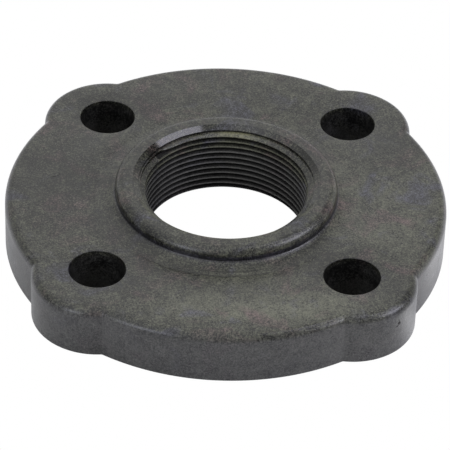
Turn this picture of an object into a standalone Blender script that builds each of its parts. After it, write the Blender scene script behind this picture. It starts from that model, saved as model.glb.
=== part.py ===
"""Threaded pipe flange, moulded in one piece.

A flat round plate with four round bolt lobes, four plain bolt holes, and a
low hub around a tapered 2 in female pipe thread (11.5 turns to the inch,
right hand, 1:16 taper on diameter).

Frame: metres, +Z up. The origin is the centre of the flat gasket face, on
the axis of the bore, and the hub points up. The bolt holes lie on the
diagonals of X and Y.
"""
import math

import bmesh
import bpy
from mathutils import Matrix

MM = 0.001

# ---- driving dimensions, in millimetres -----------------------------------
PLATE_R = 76.2            # plain outer radius of the plate (6 in across)
PLATE_T = 19.05           # thickness of the plate (3/4 in)
BOLT_CIRCLE_R = 60.325    # four bolts on a 4 3/4 in circle
LOBE_R = 22.225           # round lobe about each bolt hole
LOBE_ROOT_R = 0.9         # small inside radius where a lobe meets the plate
HOLE_R = 9.6              # clearance hole for a 5/8 in bolt
TOP_EDGE_R = 3.2          # rounded upper edge of the plate
BOTTOM_EDGE_R = 0.8       # small rounded lower edge

HUB_R = 38.35             # outer radius of the hub wall
HUB_H = 6.05              # height of the hub above the plate
HUB_SHOULDER_R = 2.6      # rounded outer shoulder of the hub
HUB_BASE_R = 2.6          # inside radius from the hub down onto the plate

MOUTH_R = 32.4            # top edge of the countersunk mouth
MOUTH_SEAT_R = 30.35      # foot of the countersink
MOUTH_SEAT_DROP = 1.30    # its depth below the hub's top
MOUTH_FLOOR_DROP = 2.00   # depth of the flat floor where the thread begins
EXIT_CHAMFER = 1.05       # chamfer at the gasket face

PITCH = 25.4 / 11.5       # thread pitch
CREST_R = 28.28           # thread crest radius in the plane of the hub's top
THREAD_DEPTH = 1.65       # radial height of the thread
CREST_LAND = 0.15         # flat left on each crest
TAPER = 1.0 / 32.0        # radius lost for each millimetre down the bore
CREST_TOP_Z = 22.50       # height of the first crest at CREST_TOP_AZ
CREST_TOP_AZ = 95.0       # degrees anticlockwise from +X
START_AZ = 146.0          # where the first turn of the ridge begins
START_RAMP = 15.0         # degrees over which it grows to full height

STEPS = 40                # facets round the bore and thread
HUB_STEPS = 64            # facets round the hub

TOTAL_H = PLATE_T + HUB_H


# ---- helpers ---------------------------------------------------------------
def clear_scene():
    for obj in list(bpy.data.objects):
        bpy.data.objects.remove(obj, do_unlink=True)


def new_collection(name):
    col = bpy.data.collections.new(name)
    bpy.context.scene.collection.children.link(col)
    return col


def moulded_plastic():
    mat = bpy.data.materials.new("dark_grey_moulded_plastic")
    mat.use_nodes = True
    bsdf = mat.node_tree.nodes["Principled BSDF"]
    bsdf.inputs["Base Color"].default_value = (0.085, 0.085, 0.078, 1.0)
    bsdf.inputs["Roughness"].default_value = 0.55
    bsdf.inputs["Metallic"].default_value = 0.0
    return mat


def arc(cx, cy, r, a0, a1, n):
    """n + 1 points on a circle, from angle a0 to a1 in degrees."""
    out = []
    for i in range(n + 1):
        a = math.radians(a0 + (a1 - a0) * i / n)
        out.append((cx + r * math.cos(a), cy + r * math.sin(a)))
    return out


def lobed_outline():
    """Outline of the plate: four large arcs, four lobes, eight small roots."""
    # Centre of the small root circle that touches the plate and one lobe.
    a, b, c = PLATE_R + LOBE_ROOT_R, LOBE_R + LOBE_ROOT_R, BOLT_CIRCLE_R
    x = (a * a - b * b + c * c) / (2.0 * c)
    y = math.sqrt(a * a - x * x)
    on_plate = math.degrees(math.atan2(y, x))
    on_lobe = math.degrees(math.atan2(y, x - c))
    pts = []
    for k in range(4):
        base = 45.0 + 90.0 * k
        turn = math.radians(base)
        ct, st = math.cos(turn), math.sin(turn)
        one = []
        one += arc(x, -y, LOBE_ROOT_R, 180.0 - on_plate, 180.0 - on_lobe, 3)
        one += arc(c, 0.0, LOBE_R, -on_lobe, on_lobe, 16)[1:-1]
        one += arc(x, y, LOBE_ROOT_R, 180.0 + on_lobe, 180.0 + on_plate, 3)
        one += arc(0.0, 0.0, PLATE_R, on_plate, 90.0 - on_plate, 14)[1:-1]
        pts += [(px * ct - py * st, px * st + py * ct) for px, py in one]
    return pts


def round_loop(bm, height, radius, segments):
    """Round every outline edge that lies at the given height."""
    edges = [e for e in bm.edges
             if all(abs(v.co.z - height * MM) < 1e-6 for v in e.verts)]
    bmesh.ops.bevel(bm, geom=edges, offset=radius * MM, offset_type='OFFSET',
                    segments=segments, profile=0.5, affect='EDGES',
                    clamp_overlap=False, miter_inner='SHARP')


def lobed_plate(name):
    bm = bmesh.new()
    verts = [bm.verts.new((x * MM, y * MM, 0.0)) for x, y in lobed_outline()]
    base = bm.faces.new(verts)
    grown = bmesh.ops.extrude_face_region(bm, geom=[base])
    lifted = [g for g in grown["geom"] if isinstance(g, bmesh.types.BMVert)]
    bmesh.ops.translate(bm, verts=lifted, vec=(0.0, 0.0, PLATE_T * MM))
    bmesh.ops.recalc_face_normals(bm, faces=bm.faces)
    round_loop(bm, PLATE_T, TOP_EDGE_R, 4)
    round_loop(bm, 0.0, BOTTOM_EDGE_R, 2)
    mesh = bpy.data.meshes.new(name)
    bm.to_mesh(mesh)
    bm.free()
    return bpy.data.objects.new(name, mesh)


def turned(name, profile, steps):
    """Closed solid of revolution from (radius, z) points, top to bottom."""
    mesh = bpy.data.meshes.new(name)
    verts = [(r * MM, 0.0, z * MM) for r, z in profile]
    mesh.from_pydata(verts, [(i, i + 1) for i in range(len(verts) - 1)], [])
    obj = bpy.data.objects.new(name, mesh)
    screw = obj.modifiers.new("turn", 'SCREW')
    screw.axis = 'Z'
    screw.angle = 2.0 * math.pi
    screw.steps = steps
    screw.render_steps = steps
    screw.use_merge_vertices = True
    screw.merge_threshold = 0.00001
    return obj


def hub_profile():
    """Hub wall from the axis out over the shoulder and down to the plate."""
    pts = [(0.0, TOTAL_H)]
    n = 5
    for i in range(n + 1):
        a = math.radians(90.0 * (1.0 - i / n))
        pts.append((HUB_R - HUB_SHOULDER_R + HUB_SHOULDER_R * math.cos(a),
                    TOTAL_H - HUB_SHOULDER_R + HUB_SHOULDER_R * math.sin(a)))
    for i in range(n):
        a = math.radians(180.0 + 90.0 * i / n)
        pts.append((HUB_R + HUB_BASE_R + HUB_BASE_R * math.cos(a),
                    PLATE_T + HUB_BASE_R + HUB_BASE_R * math.sin(a)))
    # The last facet runs on, just under the plate's top, so the join is clean.
    (r0, z0) = pts[-1]
    r1, z1 = HUB_R + HUB_BASE_R, PLATE_T
    pts.append((r1 + (r1 - r0) * 0.6, z1 + (z1 - z0) * 0.6))
    pts.append((r1 + (r1 - r0) * 0.6, PLATE_T - 4.0))
    pts.append((0.0, PLATE_T - 4.0))
    return pts


def bore_profile():
    """Everything that is open along the axis, at the radius of the crests."""
    slope = (MOUTH_R - MOUTH_SEAT_R) / MOUTH_SEAT_DROP
    floor_z = TOTAL_H - MOUTH_FLOOR_DROP
    exit_r = crest_radius(EXIT_CHAMFER)
    return [
        (0.0, TOTAL_H + 3.0),
        (MOUTH_R + 3.0 * slope, TOTAL_H + 3.0),
        (MOUTH_SEAT_R, TOTAL_H - MOUTH_SEAT_DROP),
        (MOUTH_SEAT_R, floor_z),
        (crest_radius(floor_z), floor_z),
        (exit_r, EXIT_CHAMFER),
        (exit_r + EXIT_CHAMFER + 2.0, -2.0),
        (0.0, -2.0),
    ]


def crest_radius(z):
    return CREST_R - (TOTAL_H - z) * TAPER


def swept_cutter(name, section, first_az, turns, z_first, radius_rule=None):
    """Solid swept along the thread's helix.

    section holds (radius, dz) points, down the outer side first, at the
    radius they have in the plane of the hub's top; the taper comes after.
    The sweep starts at first_az and climbs anticlockwise for that many turns.
    """
    steps_per_turn = STEPS
    mesh = bpy.data.meshes.new(name + "_section")
    verts = [(r * MM, 0.0, (z_first + dz) * MM) for r, dz in section]
    n = len(verts)
    mesh.from_pydata(verts, [(i, (i + 1) % n) for i in range(n)], [])
    guide = bpy.data.objects.new(name + "_section", mesh)
    bpy.context.scene.collection.objects.link(guide)
    screw = guide.modifiers.new("thread", 'SCREW')
    screw.axis = 'Z'
    screw.angle = 2.0 * math.pi * turns
    screw.screw_offset = PITCH * MM * turns
    screw.steps = round(steps_per_turn * turns)
    screw.render_steps = screw.steps
    screw.use_merge_vertices = False
    screw.merge_threshold = 0.00001
    bpy.context.view_layer.update()
    graph = bpy.context.evaluated_depsgraph_get()
    solid = bpy.data.meshes.new_from_object(guide.evaluated_get(graph))
    bpy.data.objects.remove(guide, do_unlink=True)

    bm = bmesh.new()
    bm.from_mesh(solid)
    rim = [e for e in bm.edges if len(e.link_faces) == 1]
    bmesh.ops.holes_fill(bm, edges=rim, sides=0)
    for v in bm.verts:
        r = math.hypot(v.co.x, v.co.y)
        grown = r - (TOTAL_H * MM - v.co.z) * TAPER
        if radius_rule is not None:
            az = math.degrees(math.atan2(v.co.y, v.co.x)) % 360.0
            grown = radius_rule(az, grown / MM, v.co.z / MM) * MM
        v.co.x *= grown / r
        v.co.y *= grown / r
    bmesh.ops.recalc_face_normals(bm, faces=bm.faces)
    bm.transform(Matrix.Rotation(math.radians(first_az), 4, 'Z'))
    bm.to_mesh(solid)
    bm.free()
    solid.name = name
    return bpy.data.objects.new(name, solid)


def thread_groove(name):
    """The groove between the ridges, from below the part to above the floor."""
    half = (PITCH - CREST_LAND) / 2.0
    root = half - THREAD_DEPTH * math.tan(math.radians(30.0))
    inner, crest, deep = CREST_R - 0.9, CREST_R, CREST_R + THREAD_DEPTH
    section = [(inner, half), (crest, half), (deep, root), (deep, -root),
               (crest, -half), (inner, -half)]
    # Groove centres lie half a pitch off the crests. Two of the section's
    # steps always fall on the facets of the bore, so the edges line up.
    step = 360.0 / STEPS
    first_az = step * round(CREST_TOP_AZ / step)
    z_here = CREST_TOP_Z + (first_az - CREST_TOP_AZ) / 360.0 * PITCH
    down = 12
    z_first = z_here + PITCH / 2.0 - down * PITCH
    return swept_cutter(name, section, first_az, down + 1, z_first)


def start_relief(name):
    """Clears the thin sliver of ridge before the first turn begins."""
    step = 360.0 / STEPS
    first_az = START_AZ - START_RAMP
    z_crest = CREST_TOP_Z + (first_az - CREST_TOP_AZ) / 360.0 * PITCH
    deep = CREST_R + THREAD_DEPTH + 0.12
    section = [(CREST_R - 0.9, 2.2), (deep, 2.2),
               (deep, -PITCH / 2.0), (CREST_R - 0.9, -PITCH / 2.0)]

    def ramp(az, r, z):
        """Outer side comes in to the crest at the very start of the sweep."""
        if r < crest_radius(z):
            return r
        u = min(1.0, az / START_RAMP) if az < 359.0 else 0.0
        start = crest_radius(z) - 0.05
        return start + (r - start) * u

    turns = round(0.66 * STEPS) / STEPS
    return swept_cutter(name, section, first_az, turns, z_crest, ramp)


def bolt_hole_cutter(name, x, y):
    bpy.ops.mesh.primitive_cylinder_add(
        vertices=40, radius=HOLE_R * MM, depth=(PLATE_T + 8.0) * MM,
        location=(x * MM, y * MM, PLATE_T * MM / 2.0))
    obj = bpy.context.active_object
    obj.name = name
    return obj


def as_cutter(obj, collection):
    for col in list(obj.users_collection):
        col.objects.unlink(obj)
    collection.objects.link(obj)
    obj.hide_render = True
    obj.display_type = 'WIRE'


def boolean(obj, other, operation):
    mod = obj.modifiers.new(operation.lower() + "_" + other.name, 'BOOLEAN')
    mod.operation = operation
    mod.solver = 'EXACT'
    mod.object = other


# ---- the part ---------------------------------------------------------------
def main():
    clear_scene()
    part = new_collection("pipe_flange")
    cutters = new_collection("cutters")

    body = lobed_plate("flange_body")
    part.objects.link(body)
    body.data.materials.append(moulded_plastic())

    hub = turned("hub_turning", hub_profile(), HUB_STEPS)
    cutters.objects.link(hub)
    as_cutter(hub, cutters)
    boolean(body, hub, 'UNION')

    bore = turned("bore_cut", bore_profile(), STEPS)
    cutters.objects.link(bore)
    as_cutter(bore, cutters)
    boolean(body, bore, 'DIFFERENCE')

    thread = thread_groove("thread_cut")
    cutters.objects.link(thread)
    as_cutter(thread, cutters)
    boolean(body, thread, 'DIFFERENCE')

    relief = start_relief("thread_start_cut")
    cutters.objects.link(relief)
    as_cutter(relief, cutters)
    boolean(body, relief, 'DIFFERENCE')

    d = BOLT_CIRCLE_R / math.sqrt(2.0)
    for i, (sx, sy) in enumerate(((1, 1), (-1, 1), (-1, -1), (1, -1))):
        hole = bolt_hole_cutter("bolt_hole_cut_%d" % (i + 1), sx * d, sy * d)
        as_cutter(hole, cutters)
        boolean(body, hole, 'DIFFERENCE')

    body.data.shade_smooth()
    body.data.set_sharp_from_angle(angle=math.radians(32.0))


main()
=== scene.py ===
import math

import bmesh
import bpy
from mathutils import Matrix, Vector, noise


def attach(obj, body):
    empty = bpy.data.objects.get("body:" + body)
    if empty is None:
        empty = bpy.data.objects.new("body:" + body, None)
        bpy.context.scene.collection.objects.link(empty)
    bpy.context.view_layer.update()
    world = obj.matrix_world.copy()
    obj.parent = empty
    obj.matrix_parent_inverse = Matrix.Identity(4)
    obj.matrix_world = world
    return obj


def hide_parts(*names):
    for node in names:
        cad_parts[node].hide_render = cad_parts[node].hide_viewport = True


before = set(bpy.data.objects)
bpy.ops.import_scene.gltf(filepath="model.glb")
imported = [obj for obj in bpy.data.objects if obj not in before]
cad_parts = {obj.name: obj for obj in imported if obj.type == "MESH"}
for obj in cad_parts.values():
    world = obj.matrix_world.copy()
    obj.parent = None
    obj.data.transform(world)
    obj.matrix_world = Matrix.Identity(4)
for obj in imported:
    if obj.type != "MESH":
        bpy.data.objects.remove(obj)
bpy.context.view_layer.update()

# The looks of a threaded pipe flange, moulded in one piece.
# Metres, +Z up, origin at the centre of the gasket face.
MM = 0.001

PLATE_R, PLATE_T = 76.2, 19.05
BOLT_CIRCLE_R, LOBE_R, LOBE_ROOT_R, HOLE_R = 60.325, 22.225, 0.9, 9.6
TOP_EDGE_R, BOTTOM_EDGE_R, HOLE_EDGE_R = 3.2, 0.8, 0.3
HUB_R, HUB_H, HUB_SHOULDER_R = 38.35, 6.05, 3.1
HUB_FOOT_W, HUB_FOOT_H = 6.0, 1.65
TOTAL_H = PLATE_T + HUB_H
MOUTH_R, MOUTH_SEAT_R = 32.4, 30.35
MOUTH_SEAT_DROP, MOUTH_FLOOR_DROP, EXIT_CHAMFER = 1.30, 2.00, 1.05
PITCH, CREST_R, THREAD_DEPTH = 25.4 / 11.5, 28.28, 1.68
CREST_LAND, TAPER = 0.18, 1.0 / 32.0
CREST_TOP_Z, CREST_TOP_AZ, START_AZ, START_RAMP = 22.50, 95.0, 146.0, 15.0


# ---- mesh helpers -----------------------------------------------------------
def link(obj):
    bpy.context.scene.collection.objects.link(obj)
    return obj


def mesh_object(name, verts, faces):
    mesh = bpy.data.meshes.new(name)
    mesh.from_pydata([tuple(v) for v in verts], [], [tuple(f) for f in faces])
    mesh.update()
    return link(bpy.data.objects.new(name, mesh))


def arc(cx, cy, r, a0, a1, n):
    return [(cx + r * math.cos(math.radians(a0 + (a1 - a0) * i / n)),
             cy + r * math.sin(math.radians(a0 + (a1 - a0) * i / n)))
            for i in range(n + 1)]


def lobed_outline(inset, n_root=8, n_lobe=56, n_plate=52):
    """Outline of the plate, drawn in by the inset all round."""
    a, b, c = PLATE_R + LOBE_ROOT_R, LOBE_R + LOBE_ROOT_R, BOLT_CIRCLE_R
    x = (a * a - b * b + c * c) / (2.0 * c)
    y = math.sqrt(a * a - x * x)
    on_plate = math.degrees(math.atan2(y, x))
    on_lobe = math.degrees(math.atan2(y, x - c))
    pts = []
    for k in range(4):
        t = math.radians(45.0 + 90.0 * k)
        one = arc(x, -y, LOBE_ROOT_R + inset, 180.0 - on_plate, 180.0 - on_lobe,
                  n_root)
        one += arc(c, 0.0, LOBE_R - inset, -on_lobe, on_lobe, n_lobe)[1:-1]
        one += arc(x, y, LOBE_ROOT_R + inset, 180.0 + on_lobe, 180.0 + on_plate,
                   n_root)
        one += arc(0.0, 0.0, PLATE_R - inset, on_plate, 90.0 - on_plate,
                   n_plate)[1:-1]
        pts += [(px * math.cos(t) - py * math.sin(t),
                 px * math.sin(t) + py * math.cos(t)) for px, py in one]
    return pts


def lobed_plate():
    """Stacked outlines: small lower round, upright wall, large upper round."""
    levels = []
    for x, y in arc(BOTTOM_EDGE_R, BOTTOM_EDGE_R, BOTTOM_EDGE_R, 270.0, 180.0, 5):
        levels.append((x, y))
    levels += arc(TOP_EDGE_R, PLATE_T - TOP_EDGE_R, TOP_EDGE_R, 180.0, 90.0, 14)
    verts, faces = [], []
    for inset, z in levels:
        verts += [(x * MM, y * MM, z * MM) for x, y in lobed_outline(inset)]
    count = len(verts) // len(levels)
    for k in range(len(levels) - 1):
        for i in range(count):
            j = (i + 1) % count
            faces.append((k * count + i, k * count + j,
                          (k + 1) * count + j, (k + 1) * count + i))
    faces.append(tuple(reversed(range(count))))
    faces.append(tuple(range((len(levels) - 1) * count, len(levels) * count)))
    return mesh_object("plate", verts, faces)


def turned(name, profile, steps, centre=(0.0, 0.0), phase=0.0):
    """Closed solid of revolution about Z from (radius, z) points that start
    and end on the axis, top to bottom."""
    verts, faces, rings = [], [], []
    for r, z in profile:
        if r < 1e-9:
            rings.append([len(verts)])
            verts.append((centre[0] * MM, centre[1] * MM, z * MM))
        else:
            ring = []
            for i in range(steps):
                a = 2.0 * math.pi * (i + phase) / steps
                ring.append(len(verts))
                verts.append(((centre[0] + r * math.cos(a)) * MM,
                              (centre[1] + r * math.sin(a)) * MM, z * MM))
            rings.append(ring)
    for up, low in zip(rings[:-1], rings[1:]):
        for i in range(steps):
            j = (i + 1) % steps
            if len(up) == 1:
                faces.append((up[0], low[i], low[j]))
            elif len(low) == 1:
                faces.append((up[i], low[0], up[j]))
            else:
                faces.append((up[i], low[i], low[j], up[j]))
    return mesh_object(name, verts, faces)


def boolean(obj, other, operation):
    mod = obj.modifiers.new(operation.lower(), 'BOOLEAN')
    mod.operation = operation
    mod.solver = 'EXACT'
    mod.object = other
    graph = bpy.context.evaluated_depsgraph_get()
    mesh = bpy.data.meshes.new_from_object(obj.evaluated_get(graph))
    obj.modifiers.clear()
    old = obj.data
    obj.data = mesh
    bpy.data.meshes.remove(old)
    bpy.data.objects.remove(other, do_unlink=True)


def tidy(obj):
    bm = bmesh.new()
    bm.from_mesh(obj.data)
    bmesh.ops.remove_doubles(bm, verts=bm.verts, dist=2e-6)
    bmesh.ops.dissolve_degenerate(bm, edges=bm.edges, dist=2e-6)
    bmesh.ops.triangulate(bm, faces=[f for f in bm.faces if len(f.verts) > 4])
    bm.to_mesh(obj.data)
    bm.free()


# ---- the flange ---------------------------------------------------------------
def crest_radius(z):
    return CREST_R - (TOTAL_H - z) * TAPER


def hub_solid():
    pts = [(0.0, TOTAL_H)]
    n = 12
    for i in range(n + 1):
        a = math.radians(90.0 * (1.0 - i / n))
        pts.append((HUB_R - HUB_SHOULDER_R + HUB_SHOULDER_R * math.cos(a),
                    TOTAL_H - HUB_SHOULDER_R + HUB_SHOULDER_R * math.sin(a)))
    # A short upright wall, then a fillet that is wider than it is tall.
    cx, cz = HUB_R + HUB_FOOT_W, PLATE_T + HUB_FOOT_H
    for i in range(n + 1):
        t = math.radians(90.0 * i / n)
        pts.append((cx - HUB_FOOT_W * math.cos(t), cz - HUB_FOOT_H * math.sin(t)))
    r0, z0 = pts[-2]
    r1, z1 = pts[-1]
    pts[-1] = (r1 + (r1 - r0) * 0.5, PLATE_T + (z1 - z0) * 0.5)
    pts.append((pts[-1][0], PLATE_T - 4.0))
    pts.append((0.0, PLATE_T - 4.0))
    return turned("hub", pts, 240)


def ring(name, section, steps):
    """Closed ring about Z from a closed section of (radius, z) points."""
    verts, faces, k = [], [], len(section)
    for i in range(steps):
        a = 2.0 * math.pi * (i + 0.37) / steps
        for r, z in section:
            verts.append((r * math.cos(a) * MM, r * math.sin(a) * MM, z * MM))
    for i in range(steps):
        j = (i + 1) % steps
        for m in range(k):
            q = (m + 1) % k
            faces.append((i * k + m, j * k + m, j * k + q, i * k + q))
    return mesh_object(name, verts, faces)


def mouth_cutter():
    slope = (MOUTH_R - MOUTH_SEAT_R) / MOUTH_SEAT_DROP
    seat_z, floor_z = TOTAL_H - MOUTH_SEAT_DROP, TOTAL_H - MOUTH_FLOOR_DROP
    e = 0.12
    pts = [(0.0, TOTAL_H + 2.0), (MOUTH_R + 2.0 * slope, TOTAL_H + 2.0),
           (MOUTH_SEAT_R + e * slope, seat_z + e),
           (MOUTH_SEAT_R + 0.03, seat_z + 0.02),
           (MOUTH_SEAT_R, seat_z - e),
           (MOUTH_SEAT_R, floor_z), (0.0, floor_z)]
    return turned("mouth", pts, 240)


def exit_cutter():
    r = crest_radius(EXIT_CHAMFER)
    pts = [(0.0, EXIT_CHAMFER + 0.4), (r - 0.4, EXIT_CHAMFER + 0.4),
           (r + EXIT_CHAMFER + 2.0, -2.0), (0.0, -2.0)]
    return turned("exit", pts, 240)


def thread_solid(columns=192):
    """A male thread, as a screw would fill the bore: the bore's crests and
    grooves are what it leaves. Rows follow the helix."""
    half_land = CREST_LAND / 2.0
    flank = THREAD_DEPTH * math.tan(math.radians(30.0))
    half_root = PITCH / 2.0 - half_land - flank

    # One pitch of the section, as (distance above a crest's middle, depth),
    # with the root of the groove slightly rounded.
    section = [(-half_land, 0.0), (half_land, 0.0),
               (half_land + flank * 0.30, THREAD_DEPTH * 0.30),
               (half_land + flank * 0.60, THREAD_DEPTH * 0.60),
               (half_land + flank * 0.86, THREAD_DEPTH * 0.86),
               (half_land + flank * 0.98, THREAD_DEPTH * 0.95),
               (PITCH / 2.0, THREAD_DEPTH * 0.985),
               (PITCH - half_land - flank * 0.98, THREAD_DEPTH * 0.95),
               (PITCH - half_land - flank * 0.86, THREAD_DEPTH * 0.86),
               (PITCH - half_land - flank * 0.60, THREAD_DEPTH * 0.60),
               (PITCH - half_land - flank * 0.30, THREAD_DEPTH * 0.30)]
    per = len(section)
    turns = 13
    verts = []
    index = {}
    rows = per * turns
    for i in range(columns):
        az = 360.0 * i / columns
        for j in range(rows + 1):
            turn, k = divmod(j, per)
            dz, depth = section[k]
            # Height of this turn's crest at this azimuth.
            base = (CREST_TOP_Z - CREST_TOP_AZ / 360.0 * PITCH
                    + (turn - 11) * PITCH)
            z = base + az / 360.0 * PITCH + dz
            # Angle along the helix of the ridge that this point belongs to.
            own = turn if dz < PITCH / 2.0 + 1e-6 else turn + 1
            psi = az + 360.0 * (own - 11)
            grow = min(1.0, max(0.0, (START_AZ - psi) / START_RAMP))
            grow = grow * grow * (3.0 - 2.0 * grow)
            root = 30.42 - crest_radius(z) if dz > PITCH / 2.0 + 1e-6 else (
                THREAD_DEPTH * 0.985)
            root = max(root, THREAD_DEPTH * 0.985) if grow < 1.0 else root
            d = root + (depth - root) * grow
            a = math.radians(az)
            p = Vector((29.0 * math.cos(a), 29.0 * math.sin(a), z))
            wob = noise.noise(p * 0.55) * 0.028 + noise.noise(p * 1.9) * 0.012
            chip = max(0.0, noise.noise(p * 0.9 + Vector((7.0, 3.0, 1.0))) - 0.42)
            if depth < 0.01:
                d += 0.30 * chip
            r = crest_radius(z) + d + wob
            index[i, j] = len(verts)
            verts.append((r * math.cos(a) * MM, r * math.sin(a) * MM,
                          (z + 0.02 * noise.noise(p * 0.7 + Vector((2, 9, 4)))) * MM))
    faces = []
    for i in range(columns - 1):
        for j in range(rows):
            faces.append((index[i, j], index[i + 1, j],
                          index[i + 1, j + 1], index[i, j + 1]))
    last = columns - 1
    for j in range(rows - per):
        faces.append((index[last, j], index[0, j + per],
                      index[0, j + per + 1], index[last, j + 1]))
    top = len(verts)
    z_top = CREST_TOP_Z + PITCH * 2.2
    verts.append((0.0, 0.0, z_top * MM))
    bottom = len(verts)
    verts.append((0.0, 0.0, -6.0 * MM))
    loop = [index[i, rows] for i in range(columns)]
    loop += [index[last, rows - k] for k in range(1, per + 1)]
    for a, b in zip(loop, loop[1:] + loop[:1]):
        faces.append((a, b, top))
    loop = [index[i, 0] for i in range(columns)]
    loop = [index[0, k] for k in range(per, 0, -1)] + loop
    for a, b in zip(loop, loop[1:] + loop[:1]):
        faces.append((b, a, bottom))
    return mesh_object("thread", verts, faces)


def hole_cutter(x, y):
    r, e, n = HOLE_R, HOLE_EDGE_R, 4
    pts = [(0.0, PLATE_T + 1.0)]
    up = []
    for i in range(n + 1):
        a = math.radians(90.0 * i / n)
        up.append((r + e - e * math.sin(a), PLATE_T - e + e * math.cos(a)))
    (r0, z0), (r1, z1) = up[1], up[0]
    up.insert(0, (r1 + (r1 - r0), z1 + (z1 - z0)))
    up.insert(0, (up[0][0], PLATE_T + 1.0))
    pts += up
    down = [(rr, PLATE_T - zz) for rr, zz in reversed(up)]
    pts += down + [(0.0, -1.0)]
    return turned("hole", pts, 96, centre=(x, y))


def bead(name, cx, cy, radius, a0, a1, height, width, steps=40):
    """Low arc-shaped ridge on the plate, fading out at both ends."""
    verts, faces, k = [], [], 9
    for i in range(steps + 1):
        u = i / steps
        a = math.radians(a0 + (a1 - a0) * u)
        size = max(0.05, math.sin(math.pi * u) ** 0.6)
        for m in range(k):
            t = 2.0 * math.pi * m / k
            r = radius + width * size * math.cos(t)
            z = PLATE_T - 0.10 + (height * size + 0.10) * math.sin(t)
            verts.append(((cx + r * math.cos(a)) * MM,
                          (cy + r * math.sin(a)) * MM, z * MM))
    for i in range(steps):
        for m in range(k):
            q = (m + 1) % k
            faces.append((i * k + m, (i + 1) * k + m,
                          (i + 1) * k + q, i * k + q))
    faces.append(tuple(range(k)))
    faces.append(tuple(steps * k + m for m in reversed(range(k))))
    return mesh_object(name, verts, faces)


def pit(name, x, y, z, size, seed):
    """Small uneven cavity cutter."""
    bm = bmesh.new()
    bmesh.ops.create_icosphere(bm, subdivisions=2, radius=1.0)
    for v in bm.verts:
        k = 1.0 + 0.45 * noise.noise(v.co * 1.3 + Vector((seed, 0.0, 0.0)))
        v.co = Vector((v.co.x * size[0] * k + x, v.co.y * size[1] * k + y,
                       v.co.z * size[2] * k + z)) * MM
    mesh = bpy.data.meshes.new(name)
    bm.to_mesh(mesh)
    bm.free()
    return link(bpy.data.objects.new(name, mesh))


flange = lobed_plate()
flange.name = "flange"
boolean(flange, bead("ejector_mark", -60.15, 9.75, 2.45, -170.0, -2.0, 0.15, 0.26),
        'UNION')
d = BOLT_CIRCLE_R / math.sqrt(2.0)
for sx, sy in ((1, 1), (-1, 1), (-1, -1), (1, -1)):
    boolean(flange, hole_cutter(sx * d, sy * d), 'DIFFERENCE')
boolean(flange, hub_solid(), 'UNION')
foot = HUB_R + HUB_FOOT_W
boolean(flange, ring("witness", [
    (foot + 0.30, PLATE_T + 0.5), (foot + 0.42, PLATE_T - 0.015),
    (foot + 0.55, PLATE_T - 0.025), (foot + 0.75, PLATE_T + 0.02),
    (foot + 0.95, PLATE_T + 0.5)], 232), 'DIFFERENCE')
boolean(flange, mouth_cutter(), 'DIFFERENCE')
boolean(flange, thread_solid(), 'DIFFERENCE')
boolean(flange, exit_cutter(), 'DIFFERENCE')
for k, (px, py, pz, size) in enumerate((
        (58.45, -58.55, 12.4, (0.62, 0.62, 0.85)),
        (57.85, -59.15, 11.6, (0.62, 0.62, 0.30)),
        (58.25, -58.60, 13.7, (0.30, 0.32, 0.32)))):
    boolean(flange, pit("nick", px, py, pz, size, 3.0 * k), 'DIFFERENCE')
tidy(flange)
flange.data.shade_smooth()
flange.data.set_sharp_from_angle(angle=math.radians(28.0))


# ---- materials -----------------------------------------------------------------
class Nodes:
    """Small helper for wiring shader nodes."""

    def __init__(self, name):
        self.mat = bpy.data.materials.new(name)
        self.mat.use_nodes = True
        self.tree = self.mat.node_tree
        self.tree.nodes.clear()

    def add(self, kind, **values):
        node = self.tree.nodes.new(kind)
        for key, value in values.items():
            if key in node.inputs:
                sock = node.inputs[key]
                if isinstance(value, bpy.types.NodeSocket):
                    self.tree.links.new(value, sock)
                else:
                    sock.default_value = value
            else:
                setattr(node, key, value)
        return node

    def math(self, op, a, b=None, c=None, clamp=False):
        node = self.tree.nodes.new('ShaderNodeMath')
        node.operation = op
        node.use_clamp = clamp
        for sock, value in zip(node.inputs, (a, b, c)):
            if value is None:
                continue
            if isinstance(value, bpy.types.NodeSocket):
                self.tree.links.new(value, sock)
            else:
                sock.default_value = value
        return node.outputs[0]

    def remap(self, value, lo, hi, to_lo, to_hi):
        node = self.tree.nodes.new('ShaderNodeMapRange')
        node.clamp = True
        self.tree.links.new(value, node.inputs['Value'])
        node.inputs['From Min'].default_value = lo
        node.inputs['From Max'].default_value = hi
        node.inputs['To Min'].default_value = to_lo
        node.inputs['To Max'].default_value = to_hi
        return node.outputs['Result']

    def noise(self, vector, scale, detail=3.0, rough=0.55, distortion=0.0):
        node = self.tree.nodes.new('ShaderNodeTexNoise')
        self.tree.links.new(vector, node.inputs['Vector'])
        node.inputs['Scale'].default_value = scale
        node.inputs['Detail'].default_value = detail
        node.inputs['Roughness'].default_value = rough
        node.inputs['Distortion'].default_value = distortion
        return node.outputs[0]

    def mix(self, fac, a, b, blend='MIX'):
        node = self.tree.nodes.new('ShaderNodeMix')
        node.data_type = 'RGBA'
        node.blend_type = blend
        for sock, value in ((node.inputs[0], fac), (node.inputs[6], a),
                            (node.inputs[7], b)):
            if isinstance(value, bpy.types.NodeSocket):
                self.tree.links.new(value, sock)
            else:
                sock.default_value = value
        return node.outputs[2]


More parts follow.
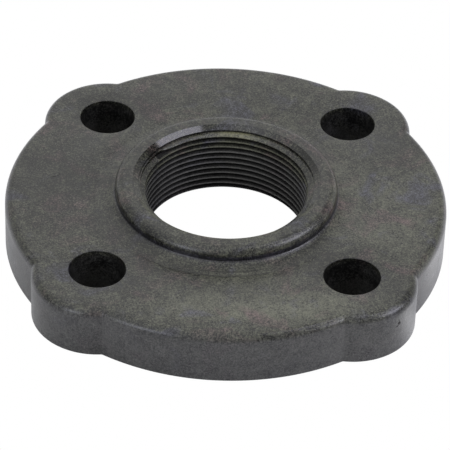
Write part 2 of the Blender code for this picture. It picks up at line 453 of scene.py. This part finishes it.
def blob(n, where, x, y, sx, sy, turn=0.0):
    """Soft round patch in plan, 1 at its centre."""
    t = math.radians(turn)
    off = n.tree.nodes.new('ShaderNodeVectorMath')
    off.operation = 'SUBTRACT'
    n.tree.links.new(where, off.inputs[0])
    off.inputs[1].default_value = (x * MM, y * MM, 0.0)
    parts = []
    for ax, ay, size in ((math.cos(t), math.sin(t), sx),
                         (-math.sin(t), math.cos(t), sy)):
        dot = n.tree.nodes.new('ShaderNodeVectorMath')
        dot.operation = 'DOT_PRODUCT'
        n.tree.links.new(off.outputs[0], dot.inputs[0])
        dot.inputs[1].default_value = (ax / (size * MM), ay / (size * MM), 0.0)
        parts.append(n.math('MULTIPLY', dot.outputs['Value'], dot.outputs['Value']))
    total = n.math('ADD', parts[0], parts[1])
    return n.math('EXPONENT', n.math('MULTIPLY', total, -1.0))


# Painted light and shade: soft patches where the skin is coloured paler or darker,
# standing in for sheen and shade: x, y, half widths, turn, change.
LIGHT_AND_SHADE_PATCHES = [
    (6.0, -60.5, 36.0, 8.0, 0.0, 0.95),
    (-13.0, -63.0, 9.0, 5.0, -8.0, 0.35),
    (33.0, -58.0, 15.0, 7.0, 20.0, 0.78),
    (60.0, -8.0, 17.0, 24.0, 0.0, 0.45),
    (58.0, 4.0, 9.0, 8.0, 0.0, 0.25),
    (-47.0, -26.0, 10.0, 5.0, -35.0, 0.35),
    (-34.0, -29.0, 8.0, 15.0, 35.0, -0.80),
    (34.0, -31.0, 13.0, 9.0, -10.0, -0.60),
    (-28.0, 53.0, 20.0, 10.0, 15.0, -0.35),
    (-45.0, 53.0, 14.0, 6.0, 0.0, -0.40),
    (0.0, -46.0, 24.0, 3.2, 0.0, 0.55),
    (-60.0, 10.0, 18.0, 24.0, 0.0, -0.65),
    (55.0, 22.0, 12.0, 14.0, 0.0, -0.25),
    (-34.0, -50.0, 15.0, 9.0, -20.0, -0.25),
    (-62.0, -42.0, 8.0, 12.0, 30.0, 0.35),
    (52.0, -47.0, 13.0, 12.0, 0.0, -0.50),
    (56.0, 36.0, 16.0, 10.0, -20.0, -0.22),
    (50.0, -22.0, 11.0, 9.0, 0.0, 0.35),
    (37.0, 6.0, 6.0, 22.0, 0.0, 0.35),
    (34.0, -34.0, 9.0, 6.0, 40.0, -0.30),
]


def plastic(name, specular):
    n = Nodes(name)
    coord = n.tree.nodes.new('ShaderNodeTexCoord').outputs['Object']
    sep = n.tree.nodes.new('ShaderNodeSeparateXYZ')
    n.tree.links.new(coord, sep.inputs[0])
    x, y, z = sep.outputs
    radius = n.math('SQRT', n.math('ADD', n.math('MULTIPLY', x, x),
                                   n.math('MULTIPLY', y, y)))
    # Distance from the nearest bolt hole's axis.
    hole = BOLT_CIRCLE_R / math.sqrt(2.0) * MM
    hx = n.math('SUBTRACT', n.math('ABSOLUTE', x), hole)
    hy = n.math('SUBTRACT', n.math('ABSOLUTE', y), hole)
    hole_r = n.math('SQRT', n.math('ADD', n.math('MULTIPLY', hx, hx),
                                   n.math('MULTIPLY', hy, hy)))

    # Height above the middle of the thread's first ridge.
    around = n.math('ARCTAN2', y, x)
    start = math.radians(START_AZ)
    around = n.math('WRAP', around, start, start - 2.0 * math.pi)
    first = n.math('MULTIPLY_ADD', around, PITCH / (2.0 * math.pi) * MM,
                   (CREST_TOP_Z - CREST_TOP_AZ / 360.0 * PITCH) * MM)
    above = n.math('SUBTRACT', z, first)

    patch = n.noise(coord, 42.0, 2.0, 0.5, 0.5)
    cloud = n.noise(coord, 150.0, 4.0, 0.6, 0.4)
    blotch = n.noise(coord, 330.0, 3.0, 0.6)
    grain = n.noise(coord, 1250.0, 3.0, 0.75)
    fine = n.noise(coord, 2300.0, 2.0, 0.7)

    def wave(value, amount):
        return n.math('MULTIPLY', n.math('SUBTRACT', value, 0.5), amount)

    side = n.remap(z, (PLATE_T - 0.5) * MM, (PLATE_T - 2.5) * MM, 0.0, 1.0)
    in_hole = n.remap(hole_r, (HOLE_R + 0.25) * MM, (HOLE_R + 0.05) * MM, 0.0, 1.0)
    inside = n.remap(radius, 30.6 * MM, 30.45 * MM, 0.0, 1.0)
    in_bore = n.math('MULTIPLY', inside,
                     n.remap(above, 0.05 * MM, -0.25 * MM, 0.0, 1.0))
    ledge = n.math('MULTIPLY', n.math('SUBTRACT', inside, in_bore),
                   n.remap(z, 23.45 * MM, 23.15 * MM, 0.0, 1.0))
    # Painted highlight: the back of the first ridge's ledge is coloured paler and yellowish.
    lit_ledge = n.math('MULTIPLY', ledge, blob(n, coord, 2.0, 29.5, 10.5, 6.0))

    # The turned mouth, smoother than the moulded skin.
    turned_face = n.math('MULTIPLY',
                         n.remap(radius, 32.5 * MM, 32.38 * MM, 0.0, 1.0),
                         n.remap(z, 23.75 * MM, 23.82 * MM, 0.0, 1.0))
    # Depth below the thread's crests.
    depth = n.math('SUBTRACT', radius, n.math(
        'MULTIPLY_ADD', z, TAPER, (CREST_R - TOTAL_H * TAPER) * MM))
    groove = n.math('MULTIPLY', in_bore,
                    n.remap(depth, 0.35 * MM, 1.1 * MM, 0.0, 1.0))
    crest = n.math('MULTIPLY', in_bore,
                   n.remap(depth, 0.45 * MM, 0.12 * MM, 0.0, 1.0))
    # The corner below the hub's shoulder, and two lines in front of it: painted shade, darker and
    # bluish in the corner, darker along the lines.
    low = n.math('MULTIPLY', n.remap(z, 19.95 * MM, 20.7 * MM, 0.0, 1.0),
                 n.remap(z, 22.4 * MM, 21.4 * MM, 0.0, 1.0))
    crease = n.math('MULTIPLY', low,
                    n.remap(radius, 37.9 * MM, 38.1 * MM, 0.0, 1.0))

    def shade_line(at, width, x0, half):
        off = n.math('DIVIDE', n.math('SUBTRACT', radius, at * MM), width * MM)
        line = n.math('EXPONENT', n.math('MULTIPLY', n.math('MULTIPLY', off, off), -1.0))
        return n.math('MULTIPLY', line, blob(n, coord, x0, -43.0, half, 12.0))

    shade_lines = n.math('ADD', shade_line(42.45, 0.32, 2.0, 13.0), shade_line(44.55, 0.36, 0.0, 16.0))

    rough_skin = n.math('ADD', wave(patch, 1.8), wave(cloud, 2.8))
    for value, amount in ((blotch, 3.4), (grain, 9.5), (fine, 9.5)):
        rough_skin = n.math('ADD', rough_skin, wave(value, amount))
    calm = n.math('MULTIPLY_ADD', side, -0.45, 1.0)
    calm = n.math('MULTIPLY_ADD', in_hole, 0.3, calm)
    tone = n.math('MULTIPLY_ADD', rough_skin, calm, 1.0)
    # Paint the light and shade patches into the tone.
    for bx, by, sx, sy, turn, change in LIGHT_AND_SHADE_PATCHES:
        tone = n.math('ADD', tone, n.math(
            'MULTIPLY', blob(n, coord, bx, by, sx, sy, turn), change * 1.4))
    # Painted highlight on the back of the ledge; the whole ledge is made a little darker.
    tone = n.math('MULTIPLY_ADD', lit_ledge, 2.6, tone)
    tone = n.math('MULTIPLY_ADD', ledge, -0.1, tone)
    # Painted highlight on the thread's crests; painted light on the bore's back wall and painted
    # shade on its left side.
    tone = n.math('MULTIPLY_ADD', crest, 4.2, tone)
    tone = n.math('MULTIPLY_ADD', n.math(
        'MULTIPLY', in_bore, blob(n, coord, 8.0, 30.0, 15.0, 10.0)), 1.3, tone)
    tone = n.math('MULTIPLY_ADD', n.math(
        'MULTIPLY', in_bore, blob(n, coord, -30.0, 8.0, 9.0, 14.0)), -0.8, tone)
    # Painted light: the lower part of each bolt hole's wall is coloured paler.
    deep = n.math('MULTIPLY', in_hole, n.remap(z, 13.0 * MM, 4.0 * MM, 0.0, 1.0))
    tone = n.math('MULTIPLY_ADD', deep, 4.0, tone)
    # Painted light on the right side wall.
    tone = n.math('MULTIPLY_ADD', n.math(
        'MULTIPLY', side, blob(n, coord, 71.0, -29.0, 7.0, 8.0)), 2.0, tone)
    # Painted light: the near side of the turned mouth is coloured paler. Painted shade: the whole
    # turned mouth is coloured darker.
    near_cone = n.math('MULTIPLY', turned_face,
                       n.remap(y, -8.0 * MM, -16.0 * MM, 0.0, 1.0))
    tone = n.math('MULTIPLY_ADD', near_cone, 2.2, tone)
    tone = n.math('MULTIPLY_ADD', turned_face, -0.5, tone)
    # Painted shade: the top of the hub's ring is coloured darker towards the back.
    ring_top = n.math('MULTIPLY', n.remap(z, 24.8 * MM, 25.05 * MM, 0.0, 1.0),
                      n.remap(y, -22.0 * MM, -4.0 * MM, 0.0, 1.0))
    tone = n.math('MULTIPLY_ADD', ring_top, -0.42, tone)
    # Painted shade: the small seat wall below the mouth is coloured darker.
    seat = n.math('MULTIPLY', inside, n.math(
        'MULTIPLY', n.remap(z, 23.12 * MM, 23.2 * MM, 0.0, 1.0),
        n.remap(z, 23.82 * MM, 23.72 * MM, 0.0, 1.0)))
    # Painted shade in the recesses: the bolt holes, the bore, the thread's grooves, the hub's
    # crease, the lines in front of the hub and the seat are coloured darker.
    shade = n.math('MULTIPLY', n.math('MULTIPLY_ADD', in_hole, -0.50, 1.0),
                   n.math('MULTIPLY_ADD', in_bore, -0.40, 1.0))
    for mask, less in ((groove, 0.8), (crease, 0.65), (shade_lines, 0.7),
                       (seat, 0.75)):
        shade = n.math('MULTIPLY', shade, n.math('MULTIPLY_ADD', mask, -less, 1.0))
    tone = n.math('MULTIPLY', n.math('MAXIMUM', tone, 0.1), shade)

    hue = n.noise(coord, 70.0, 3.0, 0.6, 0.6)
    tint = n.mix(n.remap(hue, 0.45, 0.32, 0.0, 1.0),
                 (0.0238, 0.0243, 0.0172, 1.0), (0.0305, 0.0220, 0.0200, 1.0))
    tint = n.mix(n.remap(hue, 0.56, 0.68, 0.0, 1.0), tint,
                 (0.0205, 0.0205, 0.0250, 1.0))
    tint = n.mix(n.math('MULTIPLY', side, 0.8), tint, (0.0228, 0.0226, 0.0218, 1.0))
    grey = n.tree.nodes.new('ShaderNodeCombineColor')
    for k in range(3):
        n.tree.links.new(tone, grey.inputs[k])
    # Painted shade colour: bluish in the hub's crease.
    tint = n.mix(crease, tint, (0.0215, 0.0205, 0.0290, 1.0))
    # Painted highlight colour: yellowish on the lit ledge.
    tint = n.mix(lit_ledge, tint, (0.0265, 0.0262, 0.0150, 1.0))
    colour = n.mix(1.0, tint, grey.outputs[0], 'MULTIPLY')

    # The cut thread and the holes are duller than the moulded skin.
    rough = n.math('ADD', wave(cloud, 0.22), 0.31)
    rough = n.math('ADD', rough, wave(grain, 0.22))
    rough = n.math('ADD',
                   n.math('MULTIPLY', rough, n.math('SUBTRACT', 1.0, turned_face)),
                   n.math('MULTIPLY', turned_face, 0.11))
    rough = n.math('MULTIPLY_ADD', near_cone, 0.35, rough)
    rough = n.math('MULTIPLY_ADD', in_hole, 0.25, rough)
    rough = n.math('MULTIPLY_ADD', in_bore, 0.05, rough)
    rough = n.math('MULTIPLY_ADD', groove, 0.25, rough)
    rough = n.math('MULTIPLY_ADD', shade_lines, 0.15, rough)

    height = n.math('MULTIPLY', wave(fine, 1.0), 0.000016)
    height = n.math('MULTIPLY_ADD', wave(grain, 1.0), 0.000062, height)
    height = n.math('MULTIPLY_ADD', wave(blotch, 1.0), 0.000060, height)
    height = n.math('MULTIPLY_ADD', wave(cloud, 1.0), 0.000060, height)
    height = n.math('MULTIPLY', height,
                    n.math('MULTIPLY_ADD', turned_face, -0.93, 1.0))
    bump = n.tree.nodes.new('ShaderNodeBump')
    bump.inputs['Strength'].default_value = 1.0
    bump.inputs['Distance'].default_value = 1.0
    n.tree.links.new(height, bump.inputs['Height'])

    shader = n.tree.nodes.new('ShaderNodeBsdfPrincipled')
    n.tree.links.new(colour, shader.inputs['Base Color'])
    n.tree.links.new(rough, shader.inputs['Roughness'])
    n.tree.links.new(bump.outputs['Normal'], shader.inputs['Normal'])
    shader.inputs['IOR'].default_value = 1.49
    shader.inputs['Specular IOR Level'].default_value = specular
    out = n.tree.nodes.new('ShaderNodeOutputMaterial')
    n.tree.links.new(shader.outputs['BSDF'], out.inputs['Surface'])
    return n.mat


flange.data.materials.clear()
flange.data.materials.append(plastic("moulded_plastic", 0.5))
flange.data.materials.append(plastic("cut_thread", 0.16))
for face in flange.data.polygons:
    c = face.center / MM
    az = math.degrees(math.atan2(c.y, c.x))
    az -= 360.0 if az > START_AZ else 0.0
    first = CREST_TOP_Z + (az - CREST_TOP_AZ) / 360.0 * PITCH
    inside_bore = math.hypot(c.x, c.y) < 30.44 and c.z < first - 0.12
    hole = BOLT_CIRCLE_R / math.sqrt(2.0)
    inside_hole = (math.hypot(abs(c.x) - hole, abs(c.y) - hole) < HOLE_R + 0.2
                   and abs(face.normal.z) < 0.3)
    face.material_index = 1 if inside_bore or inside_hole else 0
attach(flange, "root")
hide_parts("flange_body")


# ---- stage ----------------------------------------------------------------------
def sheet(name, z, material):
    obj = mesh_object(name, [(-6, -6, z), (6, -6, z), (6, 6, z), (-6, 6, z)],
                      [(0, 1, 2, 3)])
    obj.data.materials.append(material)
    return obj


def pale_floor():
    n = Nodes("pale_floor")
    coord = n.tree.nodes.new('ShaderNodeTexCoord').outputs['Object']
    length = n.tree.nodes.new('ShaderNodeVectorMath')
    length.operation = 'LENGTH'
    n.tree.links.new(coord, length.inputs[0])
    # Painted shade: the floor is coloured dark below the part, where hardly any light gets.
    away = n.remap(length.outputs['Value'], 0.0680, 0.0745, 0.0, 1.0)
    shader = n.tree.nodes.new('ShaderNodeBsdfPrincipled')
    n.tree.links.new(n.mix(away,
                           (0.05, 0.05, 0.05, 1.0), (0.9, 0.9, 0.9, 1.0)),
                     shader.inputs['Base Color'])
    shader.inputs['Roughness'].default_value = 0.9
    shader.inputs['Specular IOR Level'].default_value = 0.0
    # Painted light: the ground to the right glows the most, standing in for a pool of light
    # there.
    shader.inputs['Emission Color'].default_value = (1.0, 1.0, 1.0, 1.0)
    glow = n.math('MULTIPLY_ADD', blob(n, coord, 78.0, -50.0, 13.0, 9.0), 1.3,
                  n.math('MULTIPLY', blob(n, coord, 86.0, -12.0, 13.0, 20.0), 0.35))
    n.tree.links.new(n.math('MULTIPLY', away, glow),
                     shader.inputs['Emission Strength'])
    out = n.tree.nodes.new('ShaderNodeOutputMaterial')
    n.tree.links.new(shader.outputs['BSDF'], out.inputs['Surface'])
    return n.mat


def white_card():
    n = Nodes("white_card")
    glow = n.tree.nodes.new('ShaderNodeEmission')
    glow.inputs['Color'].default_value = (1.0, 1.0, 1.0, 1.0)
    glow.inputs['Strength'].default_value = 1.0
    out = n.tree.nodes.new('ShaderNodeOutputMaterial')
    n.tree.links.new(glow.outputs['Emission'], out.inputs['Surface'])
    return n.mat


floor = sheet("floor", -0.0003, pale_floor())
floor.visible_camera = False
# A white ground for the camera alone; it lights nothing.
card = sheet("card", -0.0001, white_card())
card.visible_diffuse = card.visible_glossy = False
card.visible_transmission = card.visible_shadow = False


def studio(lights, level, focus=8.0):
    """Soft light from all round: elevation, azimuth, strength, colour."""
    world = bpy.data.worlds.new("studio")
    world.use_nodes = True
    tree = world.node_tree
    tree.nodes.clear()
    look = tree.nodes.new('ShaderNodeTexCoord').outputs['Generated']
    total = None
    for el, az, strength, colour in lights:
        e, a = math.radians(el), math.radians(az)
        dot = tree.nodes.new('ShaderNodeVectorMath')
        dot.operation = 'DOT_PRODUCT'
        tree.links.new(look, dot.inputs[0])
        dot.inputs[1].default_value = (math.cos(e) * math.cos(a),
                                       math.cos(e) * math.sin(a), math.sin(e))
        fall = tree.nodes.new('ShaderNodeMath')
        fall.operation = 'MULTIPLY_ADD'
        tree.links.new(dot.outputs['Value'], fall.inputs[0])
        fall.inputs[1].default_value = focus
        fall.inputs[2].default_value = -focus
        power = tree.nodes.new('ShaderNodeMath')
        power.operation = 'EXPONENT'
        tree.links.new(fall.outputs[0], power.inputs[0])
        scale = tree.nodes.new('ShaderNodeVectorMath')
        scale.operation = 'SCALE'
        scale.inputs[0].default_value = [c * strength * level for c in colour]
        tree.links.new(power.outputs[0], scale.inputs['Scale'])
        if total is None:
            total = scale.outputs[0]
        else:
            add = tree.nodes.new('ShaderNodeVectorMath')
            add.operation = 'ADD'
            tree.links.new(total, add.inputs[0])
            tree.links.new(scale.outputs[0], add.inputs[1])
            total = add.outputs[0]
    back = tree.nodes.new('ShaderNodeBackground')
    tree.links.new(total, back.inputs['Color'])
    out = tree.nodes.new('ShaderNodeOutputWorld')
    tree.links.new(back.outputs[0], out.inputs[0])
    bpy.context.scene.world = world


WHITE, COOL = (1.0, 1.0, 1.0), (0.96, 0.97, 1.03)
studio([
    (90, 0, 0.62, WHITE), (78, 110, 0.45, WHITE), (60, 88, 0.25, WHITE),
    (60, 150, 0.40, WHITE), (40, 140, 0.30, WHITE), (65, 60, 0.25, WHITE), (65, 120, 0.55, WHITE),
    (65, 180, 0.55, COOL), (65, 240, 1.40, COOL), (65, 300, 0.15, WHITE),
    (40, 90, 1.30, WHITE), (40, 180, 0.40, COOL), (40, 225, 1.00, COOL),
    (40, 270, 0.85, WHITE), (40, 315, 0.05, WHITE), (18, 45, 0.45, WHITE),
    (18, 90, 0.55, WHITE), (18, 135, 0.55, WHITE), (18, 180, 0.32, WHITE),
    (18, 225, 0.75, COOL), (18, 270, 0.32, WHITE), (18, 315, 0.35, WHITE),
    (3, 0, 0.70, WHITE), (3, 45, 0.95, WHITE), (3, 90, 0.75, WHITE),
    (3, 135, 0.95, WHITE), (3, 180, 0.35, WHITE), (3, 225, 0.75, COOL),
    (3, 270, 0.30, WHITE), (3, 315, 0.65, WHITE),
], 0.680, 12.0)


def softbox(name, start, end, width, radiance, colour, distance=1.3):
    """Long soft light whose ends lie in the two directions, seen from the
    part."""
    centre = Vector((0.0, 0.0, 0.02))
    a = centre + Vector(start).normalized() * distance
    b = centre + Vector(end).normalized() * distance
    data = bpy.data.lights.new(name, 'AREA')
    data.shape = 'RECTANGLE'
    data.size, data.size_y = (b - a).length, width
    data.energy = radiance * math.pi * data.size * data.size_y
    data.color = colour
    z = ((a + b) / 2.0 - centre).normalized()
    x = (b - a).normalized()
    obj = link(bpy.data.objects.new(name, data))
    obj.matrix_world = (Matrix.Translation((a + b) / 2.0)
                        @ Matrix((x, z.cross(x), z)).transposed().to_4x4())
    return obj


right_box = softbox("softbox_right", (0.31, -0.15, 0.935), (0.645, 0.24, 0.715),
                    0.24, 4.6, (0.96, 0.95, 1.09))
low_box = softbox("softbox_low", (0.664, -0.448, 0.598), (0.885, 0.03, 0.464),
                  0.48, 7.2, (0.96, 0.955, 1.08))
left_box = softbox("softbox_left", (-0.562, -0.670, 0.485), (-0.582, -0.801, 0.139),
                   0.40, 4.4, (0.93, 0.95, 1.09))

# The photograph's viewing angle: a long lens, 39 degrees above the floor.
cam_data = bpy.data.cameras.new("camera")
cam_data.sensor_width = 36.0
cam_data.lens = 256.73
cam_data.clip_start, cam_data.clip_end = 0.05, 30.0
camera = link(bpy.data.objects.new("camera", cam_data))
turn = Vector((2.24360950, 0.0281474756, 0.0242721592))
rot = Matrix.Rotation(turn.length, 3, turn.normalized())
t = Vector((0.420144, -10.6510, 1106.891)) * MM
eye = -(rot.transposed() @ t) + Vector((0.0, 0.0, PLATE_T * MM))
basis = Matrix((rot[0], -rot[1], -rot[2])).transposed()
camera.matrix_world = Matrix.Translation(eye) @ basis.to_4x4()
bpy.context.scene.camera = camera
bpy.context.scene.view_settings.view_transform = 'Standard'
